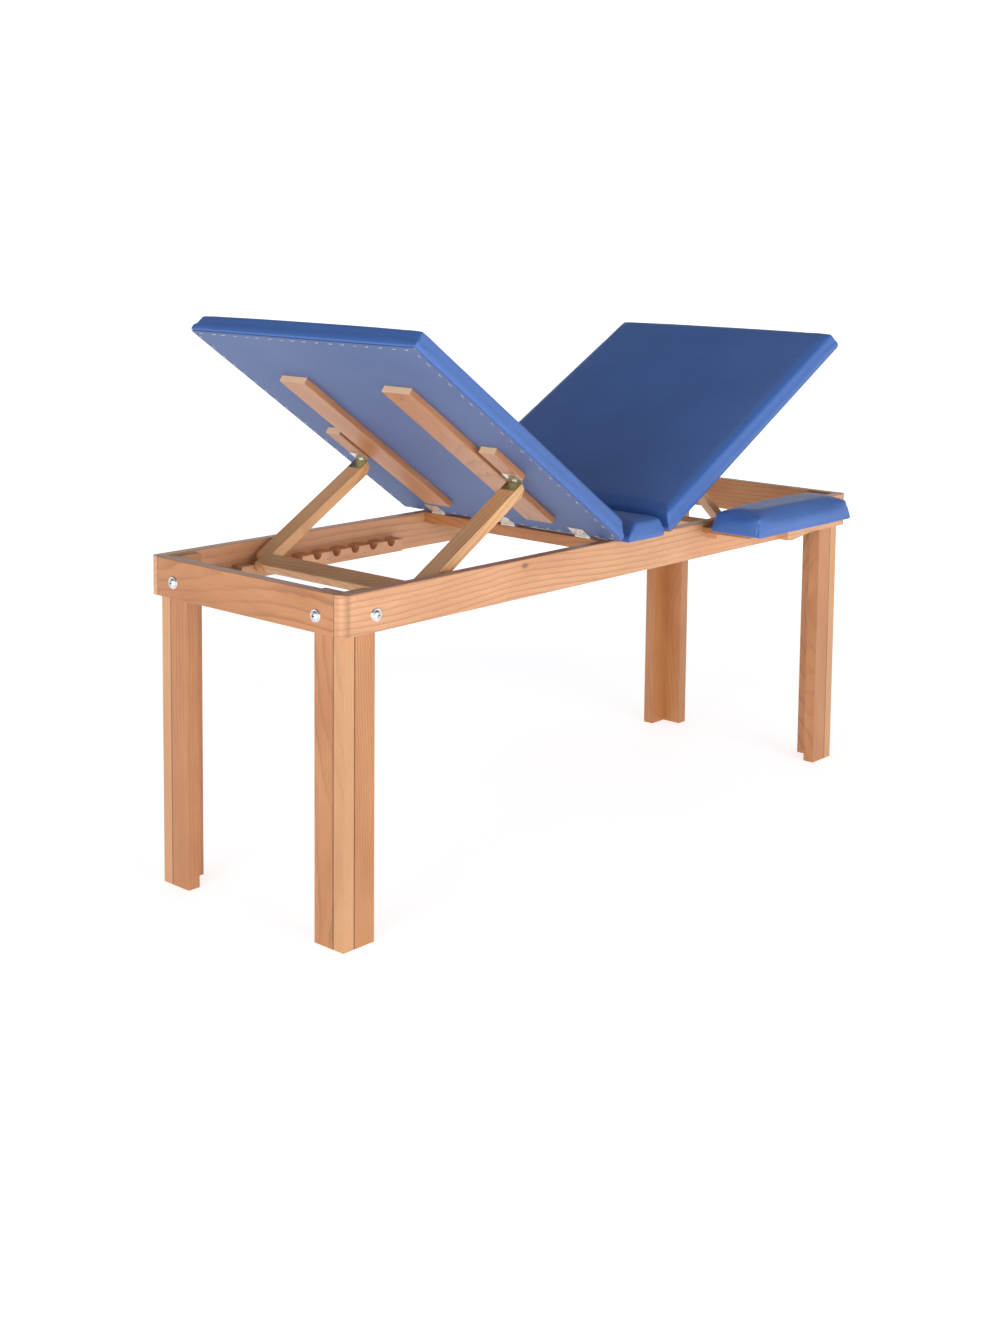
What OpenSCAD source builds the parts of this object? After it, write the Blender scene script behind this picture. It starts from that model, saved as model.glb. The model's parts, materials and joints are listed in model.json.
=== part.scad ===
// Wooden examination couch with two tilting upholstered sections and side armrests.
// +X runs along the couch towards the leg rest, -Y is the near side, +Z is up.
// The origin is on the floor at the centre of the four legs.

/* [Frame] */
// Length of the wooden frame
frame_length = 1860; // [1700:10:2000]
// Width of the wooden frame
frame_width = 610; // [560:10:680]
// Height of the rail tops above the floor
frame_height = 730; // [650:5:780]
// Height of the side and end rails
rail_height = 85; // [70:1:100]
// Thickness of the side and end rails
rail_thick = 26; // [22:1:30]
// Radius on the outer upright corners of the side rails
corner_radius = 18; // [8:1:22]
// Width of each wing of a leg
leg_wing = 85; // [80:1:95]
// Thickness of a leg wing
leg_thick = 30; // [26:1:34]
// Setback of the leg faces from the frame faces
leg_setback = 18; // [12:1:22]

/* [Upholstery] */
// Width of the upholstered sections
pad_width = 700; // [660:5:740]
// Thickness of the upholstery with its base board
pad_thick = 48; // [40:1:60]
// Thickness of the plywood base boards
board_thick = 12; // [9:1:15]
// Length of the backrest section
backrest_length = 830; // [780:5:850]
// Length of the leg rest section
legrest_length = 832; // [780:5:850]
// Tilt of the backrest above level
backrest_tilt = 35; // [30:1:40]
// Tilt of the leg rest above level
legrest_tilt = 29; // [26:1:32]

/* [Props] */
// Spacing of the rack notches
notch_pitch = 60; // [50:1:65]
// Radius of a rack notch
notch_radius = 13; // [11:0.5:14]
// Length of the backrest struts, hinge to foot centre
backrest_strut = 381; // [370:1:390]
// Length of the leg rest struts, hinge to foot centre
legrest_strut = 230; // [225:1:240]
// Distance from the backrest hinge line to its prop hinge
backrest_reach = 298; // [290:1:310]
// Distance from the leg rest hinge line to its prop hinge
legrest_reach = 245; // [240:1:255]

/* [Armrests] */
// Length of an armrest pad
arm_length = 410; // [380:5:440]
// Width of an armrest pad
arm_width = 144; // [120:2:160]
// Thickness of an armrest pad
arm_thick = 54; // [45:1:60]

/* [Hidden] */
$fn = 48;
eps = 0.01;

// Colours
wood = "peru";
wood_light = "burlywood";
vinyl = "royalblue";
ply = "tan";
steel = "silver";

// Frame levels and half sizes
half_l = frame_length / 2;
half_w = frame_width / 2;
rail_bottom = frame_height - rail_height;
rail_in = half_w - rail_thick;
end_in = half_l - rail_thick;
edge = 1.5;

// Bolts that hold the legs
bolt_z = rail_bottom + 35;
bolt_r = 4;
bolt_hole_r = 4.3;
washer_r = 14;
washer_t = 2.5;
bolt_end_y = half_w - 80;
bolt_side_x = half_l - 89;
leg_in_x = half_l - leg_setback - leg_thick;
leg_in_y = half_w - leg_setback - leg_thick;

// Section hinges
hinge_r = 2.4;
pin_r = 1.5;
pin_bore_r = 1.55;
leaf_t = 1.5;
leaf_y = 44;
// Clearance of a leaf's face from its knuckle, between knuckles, and how far each leaf reaches
leaf_gap = 0.2;
knuckle_gap = 0.3;
fixed_reach_backrest = 20;
fixed_reach_legrest = 15;
moving_reach = 38;
prop_upper_reach = 26;
prop_lower_reach = 30;
hinge_z = frame_height + hinge_r + leaf_gap;
hinge_rows = [-230, 0, 230];
backrest_hinge_x = -105;
legrest_hinge_x = 73;
underside = hinge_r + 0.3;
bar_w = 25;
bar_h = 27;

// Battens and blocks under a section
batten_in = 120;
batten_out = 203;
batten_from = 84;
batten_to = 654;
wood_t = 16;
block_in = 219;
block_out = 265;
block_len = 115;
batten_bottom = underside - wood_t;

// Prop hinge axis below the block, in the section's own frame
prop_drop = wood_t - underside + hinge_r + leaf_gap;

// Racks
rack_t = 36;
rack_in = rail_in - rack_t;
rack_top = rail_bottom + 38;
rack_bottom = rail_bottom + 7;
seat_z = rack_top - 2;
rack_end = 25;

// Struts: [inner y, outer y, thickness]
backrest_strut_box = [block_in, block_out, 24];
legrest_strut_box = [226, 254, 18];
// The inner part of a strut passes the rack's face by rack_gap; the outer part ends foot_gap above it
rack_gap = 0.4;
foot_gap = 1.5;

// Seat between the two hinge lines
seat_from = -83;
seat_to = 56;

// Armrests
arm_from = 223;
arm_inner_y = pad_width / 2 + 4;
arm_bottom = 719;
arm_board_t = 12;
cleat_t = 28;
cleat_from = 600;
cleat_to = 812;

// A section is [hinge x, tilt, length, reach, strut length, strut box, direction along X]
backrest = [backrest_hinge_x, backrest_tilt, backrest_length, backrest_reach, backrest_strut,
            backrest_strut_box, -1];
legrest = [legrest_hinge_x, legrest_tilt, legrest_length, legrest_reach, legrest_strut,
           legrest_strut_box, 1];

// Distance of the foot centre below the strut's hinge face
function foot_offset(s) = hinge_r + s[5][2] / 2;
// Height of the prop hinge axis above the floor
function prop_axis_z(s) = hinge_z + s[3] * sin(s[1]) - prop_drop * cos(s[1]);
// Distance of the prop hinge axis from the section's hinge line, level
function prop_axis_x(s) = s[3] * cos(s[1]) + prop_drop * sin(s[1]);
function foot_arm(s) = sqrt(pow(s[4], 2) + pow(foot_offset(s), 2));
// Fall of the line from the prop axis to the foot centre, below level
function foot_fall(s) = asin((prop_axis_z(s) - seat_z) / foot_arm(s));
// Slope of the strut below level, and the angle between the section and its strut
function strut_slope(s) = foot_fall(s) - atan(foot_offset(s) / s[4]);
function prop_open(s) = s[1] + strut_slope(s);
function foot_x(s) = prop_axis_x(s) + foot_arm(s) * cos(foot_fall(s));

// ---------- placing ----------

// Section frame: x runs from the hinge line out along the section, z up from the hinge axis
module in_section(s) {
    translate([s[0], 0, hinge_z])
        mirror([s[6] < 0 ? 1 : 0, 0, 0])
            rotate([0, -s[1], 0])
                children();
}

// Prop frame: x runs from the prop hinge down the strut when it is folded against the block
module in_prop(s) {
    in_section(s)
        translate([s[3], 0, -prop_drop])
            rotate([0, prop_open(s), 0])
                children();
}

module both_sides() {
    children();
    mirror([0, 1, 0]) children();
}

// Bar of length l along X with its four long edges eased
module eased_bar(l, w, h) {
    rotate([90, 0, 90])
        linear_extrude(l)
            polygon([[edge, 0], [w - edge, 0], [w, edge], [w, h - edge],
                     [w - edge, h], [edge, h], [0, h - edge], [0, edge]]);
}

module tube(r, l) {
    rotate([-90, 0, 0]) cylinder(r = r, h = l);
}

// ---------- frame ----------

module side_rail(side) {
    color(wood)
    scale([1, side, 1])
    difference() {
        intersection() {
            translate([-half_l, rail_in, rail_bottom]) eased_bar(frame_length, rail_thick, rail_height);
            translate([0, 0, rail_bottom - 1]) linear_extrude(rail_height + 2) rail_plan();
        }
        for (x = [-bolt_side_x, bolt_side_x])
            translate([x, rail_in - 1, bolt_z]) tube(bolt_hole_r, rail_thick + 2);
        for (s = [backrest, legrest])
            for (x = rack_screw_xs(s))
                translate([s[6] * x, rail_in - 1, rack_screw_z]) tube(rack_screw_r, rack_screw_bite + 1);
    }
}

// Plan of a side rail with rounded outer corners
module rail_plan() {
    translate([-half_l, rail_in]) square([frame_length, rail_thick - corner_radius]);
    translate([-half_l + corner_radius, rail_in]) square([frame_length - 2 * corner_radius, rail_thick]);
    for (x = [-half_l + corner_radius, half_l - corner_radius])
        translate([x, half_w - corner_radius]) circle(r = corner_radius);
}

module end_rail(side) {
    color(wood)
    scale([side, 1, 1])
    difference() {
        translate([half_l, -rail_in, rail_bottom])
            rotate([0, 0, 90]) eased_bar(2 * rail_in, rail_thick, rail_height);
        both_sides()
            translate([end_in - 1, bolt_end_y, bolt_z]) rotate([0, 0, -90]) tube(bolt_hole_r, rail_thick + 2);
    }
}

// L-shaped plan of a leg, corner towards +X +Y, with a V seam beside the corner post
module leg_plan() {
    x1 = half_l - leg_setback;
    y1 = half_w - leg_setback;
    v = 1.5;
    polygon([[x1, y1], [x1 - leg_thick + v, y1], [x1 - leg_thick, y1 - v], [x1 - leg_thick - v, y1],
             [x1 - leg_wing, y1], [x1 - leg_wing, leg_in_y],
             [leg_in_x, leg_in_y], [leg_in_x, y1 - leg_wing],
             [x1, y1 - leg_wing], [x1, y1 - leg_thick - v],
             [x1 - v, y1 - leg_thick], [x1, y1 - leg_thick + v]]);
}

module leg(sx, sy) {
    color(wood_light)
    scale([sx, sy, 1])
    difference() {
        union() {
            linear_extrude(rail_bottom) leg_plan();
            intersection() {
                linear_extrude(frame_height - 4) leg_plan();
                cube([end_in, rail_in, frame_height]);
            }
        }
        translate([bolt_side_x, leg_in_y - 1, bolt_z]) tube(bolt_hole_r, leg_thick + 2);
        translate([leg_in_x - 1, bolt_end_y, bolt_z]) rotate([0, 0, -90]) tube(bolt_hole_r, leg_thick + 2);
    }
}

// Runs its children at the eight bolt places, each axis pointing out of the frame along +Z
module at_bolts() {
    for (sx = [-1, 1])
        for (sy = [-1, 1]) {
            translate([sx * bolt_side_x, sy * half_w, bolt_z]) rotate([-sy * 90, 0, 0]) children();
            translate([sx * half_l, sy * bolt_end_y, bolt_z]) rotate([0, sx * 90, 0]) children();
        }
}

bolt_reach = leg_setback + leg_thick;

module leg_bolts() {
    color(steel)
    at_bolts() {
        difference() {
            translate([0, 0, washer_t]) intersection() {
                cylinder(r = 10, h = 5);
                translate([0, 0, -9]) sphere(r = 14);
            }
            for (a = [0, 90])
                rotate([0, 0, a]) translate([-5, -0.9, washer_t + 3]) cube([10, 1.8, 4]);
        }
        translate([0, 0, -bolt_reach - 9]) cylinder(r = bolt_r, h = bolt_reach + 9 + washer_t + 0.5);
    }
}

module leg_washers() {
    color(steel)
    at_bolts() difference() {
        cylinder(r1 = washer_r, r2 = washer_r - 1.5, h = washer_t);
        translate([0, 0, -1]) cylinder(r = bolt_hole_r, h = washer_t + 2);
    }
}

module leg_nuts() {
    color(steel)
    at_bolts() translate([0, 0, -bolt_reach - 7]) difference() {
        cylinder(r = 7.5, h = 7, $fn = 6);
        translate([0, 0, -1]) cylinder(r = bolt_r, h = 9);
    }
}

// Crossbar that carries the hinges of a section
module hinge_bar(s) {
    color(wood_light)
    translate([s[6] < 0 ? s[0] + bar_w : s[0], -rail_in, frame_height - bar_h])
        rotate([0, 0, 90]) eased_bar(2 * rail_in, bar_w, bar_h);
}

// ---------- racks ----------

rack_screw_r = 2;
rack_screw_z = rack_bottom + 13;
rack_screw_bite = 16;

// Distances of the notches and the rack's screws from the middle of the couch; the foot rests in notch 0
function last_notch(s) = s[6] < 0 ? 7 : 3;
function notch_x(s, k) = s[6] * s[0] + foot_x(s) - notch_pitch * k;
function rack_from(s) = notch_x(s, last_notch(s)) - notch_radius - rack_end;
function rack_to(s) = notch_x(s, -1) + notch_radius + rack_end;
function rack_screw_xs(s) = [for (k = [-0.5 : 2 : last_notch(s)]) notch_x(s, k)];

module rack(s, side) {
    color(wood)
    scale([s[6], side, 1])
    difference() {
        translate([rack_from(s), rack_in, rack_bottom])
            eased_bar(rack_to(s) - rack_from(s), rack_t, rack_top - rack_bottom);
        for (k = [-1 : last_notch(s)])
            translate([notch_x(s, k), rack_in - 1, seat_z]) {
                tube(notch_radius, rack_t + 2);
                translate([-notch_radius, 0, 0]) cube([2 * notch_radius, rack_t + 2, 10]);
            }
        for (x = rack_screw_xs(s))
            translate([x, rack_in, rack_screw_z]) rack_screw_shape(0);
    }
}

// Countersunk screw with its head flush at y = 0, pointing along +Y
module rack_screw_shape(reach) {
    rotate([-90, 0, 0]) {
        cylinder(r1 = 4, r2 = rack_screw_r, h = 3);
        cylinder(r = rack_screw_r, h = rack_t + reach);
    }
}

module rack_screws() {
    color(steel)
    both_sides()
        for (s = [backrest, legrest])
            for (x = rack_screw_xs(s))
                translate([s[6] * x, rack_in, rack_screw_z]) rack_screw_shape(rack_screw_bite);
}

// ---------- upholstery ----------

// Upright rim of a pad, and how far its top is drawn in: [near end, far end, sides]
pad_rim = 4;
section_slopes = [27, 9, 8];
seat_slopes = [34, 16, 8];
arm_slopes = [14, 14, 14];

// Block with sloping sides: bottom l by w, top drawn in by the slopes
module pad_form(l, w, t, slopes) {
    top_w = w - 2 * slopes[2];
    intersection() {
        translate([0, w / 2, 0]) rotate([90, 0, 0]) linear_extrude(w)
            polygon([[0, 0], [l, 0], [l, pad_rim], [l - slopes[1], t], [slopes[0], t], [0, pad_rim]]);
        rotate([90, 0, 90]) linear_extrude(l)
            polygon([[-w / 2, 0], [w / 2, 0], [w / 2, pad_rim], [top_w / 2, t],
                     [-top_w / 2, t], [-w / 2, pad_rim]]);
    }
}

board_inset = 6;

module section_board(s) {
    color(ply)
    in_section(s) difference() {
        translate([board_inset, board_inset - pad_width / 2, underside])
            cube([s[2] - 2 * board_inset, pad_width - 2 * board_inset, board_thick]);
        wood_screws(s);
    }
}

module section_cushion(s) {
    color(vinyl)
    in_section(s) difference() {
        translate([0, 0, underside]) pad_form(s[2], pad_width, pad_thick, section_slopes);
        translate([board_inset, board_inset - pad_width / 2, underside - 1])
            cube([s[2] - 2 * board_inset, pad_width - 2 * board_inset, board_thick + 1]);
    }
}

module seat_board() {
    color(ply)
    translate([seat_from + board_inset, board_inset - pad_width / 2, frame_height])
        cube([seat_to - seat_from - 2 * board_inset, pad_width - 2 * board_inset, board_thick]);
}

module seat_cushion() {
    color(vinyl)
    difference() {
        translate([seat_from, 0, frame_height])
            pad_form(seat_to - seat_from, pad_width, pad_thick, seat_slopes);
        translate([seat_from + board_inset, board_inset - pad_width / 2, frame_height - 1])
            cube([seat_to - seat_from - 2 * board_inset, pad_width - 2 * board_inset, board_thick + 1]);
    }
}

// ---------- battens, blocks and screws ----------

batten_mid = (batten_in + batten_out) / 2;
block_mid = (block_in + block_out) / 2;
screw_r = 2;
screw_bite = 8;

function screw_places(s) = [[batten_from + 24, batten_mid], [batten_to - 24, batten_mid],
                            [s[3] + block_len - 22, block_mid]];

// Countersunk wood screw driven up from the underside of a batten
module wood_screw() {
    cylinder(r1 = 4, r2 = screw_r, h = 3);
    cylinder(r = screw_r, h = wood_t + screw_bite);
}

module wood_screws(s) {
    both_sides()
        for (p = screw_places(s)) translate([p[0], p[1], batten_bottom]) wood_screw();
}

module section_screws(s) {
    color(steel) in_section(s) wood_screws(s);
}

module batten(s, side) {
    color(wood_light)
    in_section(s) difference() {
        translate([batten_from, side > 0 ? batten_in : -batten_out, batten_bottom])
            eased_bar(batten_to - batten_from, batten_out - batten_in, wood_t);
        wood_screws(s);
    }
}

module block(s, side) {
    color(wood_light)
    in_section(s) difference() {
        translate([s[3] + 2, side > 0 ? block_in : -block_out, batten_bottom])
            eased_bar(block_len, block_out - block_in, wood_t);
        wood_screws(s);
    }
}

// ---------- hinges ----------

// Knuckles of one leaf along Y: the middle third, or the two outer thirds
module knuckles(len, middle) {
    third = len / 3;
    gap = knuckle_gap;
    difference() {
        for (y = middle ? [-third / 2 + gap] : [-len / 2, third / 2 + gap])
            translate([0, y, 0]) tube(hinge_r, middle ? third - 2 * gap : third - gap);
        translate([0, -len / 2 - 1, 0]) tube(pin_bore_r, len + 2);
    }
}

// Flat leaf from the knuckle out along +X, with its face at height z, cut clear of the other knuckles
module leaf(len, reach, z, middle) {
    third = len / 3;
    gap = knuckle_gap;
    difference() {
        union() {
            knuckles(len, middle);
            translate([hinge_r + 0.4, -len / 2, z]) cube([reach - hinge_r - 0.4, len, leaf_t]);
            for (y = middle ? [gap - third / 2] : [-len / 2, third / 2 + gap])
                translate([0.6, y, z]) cube([hinge_r, middle ? third - 2 * gap : third - gap, leaf_t]);
        }
        translate([0, -len / 2 - 1, 0]) tube(pin_bore_r, len + 2);
    }
}

module at_hinge_rows() {
    for (y = hinge_rows) translate([0, y, 0]) children();
}

module at_prop_rows(s) {
    for (k = [-1, 1]) translate([0, k * prop_mid(s), 0]) children();
}

function prop_mid(s) = (s[5][0] + s[5][1]) / 2;
function prop_leaf(s) = s[5][1] - s[5][0] - 4;

module fixed_leaves(s) {
    reach = s[6] > 0 ? fixed_reach_legrest : fixed_reach_backrest;
    color(steel)
    translate([s[0], 0, hinge_z]) mirror([s[6] > 0 ? 1 : 0, 0, 0])
        at_hinge_rows() leaf(leaf_y, reach, -hinge_r - leaf_gap, true);
}

module moving_leaves(s) {
    color(steel) in_section(s) at_hinge_rows() leaf(leaf_y, moving_reach, underside - leaf_t, false);
}

module hinge_pins(s) {
    color(steel) in_section(s) at_hinge_rows() translate([0, -leaf_y / 2, 0]) tube(pin_r, leaf_y);
}

module prop_upper_leaves(s) {
    color(steel)
    in_section(s) translate([s[3], 0, -prop_drop]) at_prop_rows(s)
        leaf(prop_leaf(s), prop_upper_reach, hinge_r + leaf_gap - leaf_t, true);
}

module prop_lower_leaves(s) {
    color(steel)
    in_prop(s) at_prop_rows(s) leaf(prop_leaf(s), prop_lower_reach, -hinge_r, false);
}

module prop_pins(s) {
    color(steel)
    in_prop(s) at_prop_rows(s) translate([0, -prop_leaf(s) / 2, 0]) tube(pin_r, prop_leaf(s));
}

// ---------- props ----------

strut_top = 4;
crossbar_w = 40;

// Outline of a strut in its own frame, with a slanted top and a rounded foot
module strut_side(s, l) {
    t = s[5][2];
    polygon([[strut_top, -hinge_r], [l, -hinge_r], [l, -hinge_r - t], [strut_top + t * 0.7, -hinge_r - t],
             [strut_top, -hinge_r - t * 0.55]]);
    translate([l, -hinge_r - t / 2]) circle(r = t / 2);
}

// Slab of a strut from y0 to y1
module strut_slab(s, l, y0, y1) {
    translate([0, y1, 0]) rotate([90, 0, 0]) linear_extrude(y1 - y0) strut_side(s, l);
}

module strut(s, side) {
    y0 = s[5][0];
    y1 = s[5][1];
    split = rack_in - rack_gap;
    short = (rack_top + foot_gap + s[5][2] / 2 - seat_z) / sin(strut_slope(s));
    color(wood)
    in_prop(s) scale([1, side, 1]) {
        strut_slab(s, s[4], y0, split);
        strut_slab(s, s[4] - short, split - eps, y1);
    }
}

module crossbar(s) {
    t = s[5][2];
    w = min(crossbar_w, t * 1.7);
    color(wood_light)
    in_prop(s) translate([s[4] + 8 - w, s[5][0], -hinge_r - t])
        rotate([0, 0, -90]) eased_bar(2 * s[5][0], w, t);
}

// ---------- armrests ----------

cleat_top = arm_bottom - arm_board_t;
cleat_screw_xs = [380, 520, 700];
cleat_screw_z = cleat_top - 8;
cleat_tip = arm_from + 60;
cleat_tip_h = 16;

// Cleat on the outside of the side rail, deep towards the foot end and tapered at its tip
module armrest_cleat(side) {
    color(wood)
    scale([1, side, 1]) difference() {
        translate([0, half_w + cleat_t, 0]) rotate([90, 0, 0]) linear_extrude(cleat_t)
            polygon([[cleat_tip, cleat_top], [cleat_tip, cleat_top - cleat_tip_h],
                     [cleat_from, cleat_top - cleat_tip_h],
                     [cleat_from, rail_bottom + 1], [cleat_from + 24, rail_bottom - 1],
                     [cleat_to, rail_bottom + 24], [cleat_to, cleat_top]]);
        for (x = cleat_screw_xs) translate([x, half_w, cleat_screw_z]) armrest_screw_shape();
    }
}

module armrest_screw_shape() {
    translate([0, cleat_t, 0]) rotate([90, 0, 0]) {
        cylinder(r1 = 4, r2 = screw_r, h = 3);
        cylinder(r = screw_r, h = cleat_t);
    }
}

module armrest_screws() {
    color(steel)
    both_sides() for (x = cleat_screw_xs) translate([x, half_w, cleat_screw_z]) armrest_screw_shape();
}

module armrest_board(side) {
    color(ply)
    scale([1, side, 1])
        translate([arm_from + 40, half_w, cleat_top])
            cube([arm_length - 50, arm_inner_y + arm_width - 55 - half_w, arm_board_t]);
}

module armrest_pad(side) {
    color(vinyl)
    scale([1, side, 1])
        translate([arm_from, arm_inner_y + arm_width / 2, arm_bottom])
            pad_form(arm_length, arm_width, arm_thick, arm_slopes);
}

// ---------- nodes ----------

side_rail(-1);  // side_rail_near
side_rail(1);  // side_rail_far
end_rail(-1);  // end_rail_back
end_rail(1);  // end_rail_foot
leg(-1, -1);  // leg_back_near
leg(-1, 1);  // leg_back_far
leg(1, -1);  // leg_foot_near
leg(1, 1);  // leg_foot_far
leg_bolts();
leg_washers();
leg_nuts();
hinge_bar(backrest);  // backrest_hinge_bar
hinge_bar(legrest);  // legrest_hinge_bar
rack(backrest, -1);  // backrest_rack_near
rack(backrest, 1);  // backrest_rack_far
rack(legrest, -1);  // legrest_rack_near
rack(legrest, 1);  // legrest_rack_far
rack_screws();
seat_board();
seat_cushion();
armrest_cleat(-1);  // armrest_cleat_near
armrest_board(-1);  // armrest_board_near
armrest_pad(-1);  // armrest_pad_near
armrest_cleat(1);  // armrest_cleat_far
armrest_board(1);  // armrest_board_far
armrest_pad(1);  // armrest_pad_far
armrest_screws();
fixed_leaves(backrest);  // backrest_fixed_leaves
hinge_pins(backrest);  // backrest_hinge_pins
moving_leaves(backrest);  // backrest_moving_leaves
section_board(backrest);  // backrest_board
section_cushion(backrest);  // backrest_cushion
batten(backrest, -1);  // backrest_batten_near
batten(backrest, 1);  // backrest_batten_far
block(backrest, -1);  // backrest_block_near
block(backrest, 1);  // backrest_block_far
section_screws(backrest);  // backrest_screws
prop_upper_leaves(backrest);  // backrest_prop_upper_leaves
strut(backrest, -1);  // backrest_strut_near
strut(backrest, 1);  // backrest_strut_far
crossbar(backrest);  // backrest_crossbar
prop_lower_leaves(backrest);  // backrest_prop_lower_leaves
prop_pins(backrest);  // backrest_prop_pins
fixed_leaves(legrest);  // legrest_fixed_leaves
hinge_pins(legrest);  // legrest_hinge_pins
moving_leaves(legrest);  // legrest_moving_leaves
section_board(legrest);  // legrest_board
section_cushion(legrest);  // legrest_cushion
batten(legrest, -1);  // legrest_batten_near
batten(legrest, 1);  // legrest_batten_far
block(legrest, -1);  // legrest_block_near
block(legrest, 1);  // legrest_block_far
section_screws(legrest);  // legrest_screws
prop_upper_leaves(legrest);  // legrest_prop_upper_leaves
strut(legrest, -1);  // legrest_strut_near
strut(legrest, 1);  // legrest_strut_far
crossbar(legrest);  // legrest_crossbar
prop_lower_leaves(legrest);  // legrest_prop_lower_leaves
prop_pins(legrest);  // legrest_prop_pins
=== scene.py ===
"""Looks of the examination couch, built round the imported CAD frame: lacquered wood, vinyl
upholstery puffed up by cloth simulation, stapled underside linings, hinges, screws and bolts."""

import json
import math
import random

import bmesh
import bpy
from mathutils import Matrix, Vector, noise


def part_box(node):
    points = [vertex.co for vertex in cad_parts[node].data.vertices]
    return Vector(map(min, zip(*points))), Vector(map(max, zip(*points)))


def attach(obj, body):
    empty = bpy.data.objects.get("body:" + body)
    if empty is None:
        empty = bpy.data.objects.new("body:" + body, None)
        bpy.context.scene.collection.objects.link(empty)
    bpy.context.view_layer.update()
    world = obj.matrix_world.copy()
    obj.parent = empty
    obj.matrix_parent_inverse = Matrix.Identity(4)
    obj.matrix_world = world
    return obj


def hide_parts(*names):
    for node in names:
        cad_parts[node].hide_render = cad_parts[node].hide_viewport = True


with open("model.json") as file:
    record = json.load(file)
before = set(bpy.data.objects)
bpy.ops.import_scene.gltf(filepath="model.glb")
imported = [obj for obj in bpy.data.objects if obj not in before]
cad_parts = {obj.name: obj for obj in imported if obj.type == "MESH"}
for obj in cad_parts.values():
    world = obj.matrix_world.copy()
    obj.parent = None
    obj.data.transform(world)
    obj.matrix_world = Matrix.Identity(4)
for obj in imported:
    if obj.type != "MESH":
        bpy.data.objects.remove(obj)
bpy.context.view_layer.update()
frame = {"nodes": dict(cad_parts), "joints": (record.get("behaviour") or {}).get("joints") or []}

nodes = frame["nodes"]
joints = {j["name"]: j for j in frame["joints"]}


# ---------------------------------------------------------------- frames of the two sections

class Section:
    """A tilting section: x runs out along it from the hinge line, z up from the hinge axis."""

    def __init__(self, name):
        joint = joints[name + "_lower"]
        self.name = name
        self.hinge = Vector(joint["pos_m"])
        self.tilt = math.radians(-joint["range_deg"][0])
        self.side = -joint["axis"][1]
        c, s = math.cos(self.tilt), math.sin(self.tilt)
        across = Vector((0, self.side, 0))
        along = Vector((self.side * c, 0, s))
        up = Vector((-self.side * s, 0, c))
        self.matrix = placed(along, across, up, self.hinge)

    def local_box(self, node):
        """Lowest and highest corner of a CAD node in this section's frame."""
        back = self.matrix.inverted()
        points = [back @ v.co for v in nodes[node].data.vertices]
        low = Vector(min(p[i] for p in points) for i in range(3))
        high = Vector(max(p[i] for p in points) for i in range(3))
        return low, high


def placed(x, y, z, origin):
    """Matrix with these three axes and this origin."""
    m = Matrix((x, y, z)).transposed().to_4x4()
    m.translation = origin
    return m


BACKREST = Section("backrest")
LEGREST = Section("legrest")
SECTIONS = (BACKREST, LEGREST)


# ---------------------------------------------------------------- camera, light and floor

def camera():
    """The photograph's view: from beyond the backrest end, a little above the couch."""
    eye = Vector((-3.2764, -2.8065, 1.469))
    yaw, pitch, roll = math.radians(48.18), math.radians(5.89), math.radians(0.59)
    ahead = Vector((math.sin(yaw) * math.cos(pitch), math.cos(yaw) * math.cos(pitch), -math.sin(pitch)))
    right = Vector((math.cos(yaw), -math.sin(yaw), 0))
    up = right.cross(ahead)
    tilted_right = math.cos(roll) * right + math.sin(roll) * up
    tilted_up = math.cos(roll) * up - math.sin(roll) * right
    data = bpy.data.cameras.new("camera")
    data.lens = 48.9
    data.sensor_width = 36
    data.shift_y = -0.197
    data.clip_end = 100
    cam = bpy.data.objects.new("camera", data)
    cam.matrix_world = placed(tilted_right, tilted_up, -ahead, eye)
    bpy.context.scene.collection.objects.link(cam)
    bpy.context.scene.camera = cam


def area_light(name, place, target, size, power, color=(1, 1, 1)):
    """A rectangular soft box at place, turned toward target."""
    data = bpy.data.lights.new(name, "AREA")
    data.shape = "RECTANGLE"
    data.size, data.size_y = size
    data.energy = power
    data.color = color
    light = bpy.data.objects.new(name, data)
    light.location = place
    light.rotation_euler = (Vector(target) - Vector(place)).to_track_quat("-Z", "Y").to_euler()
    bpy.context.scene.collection.objects.link(light)


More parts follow.
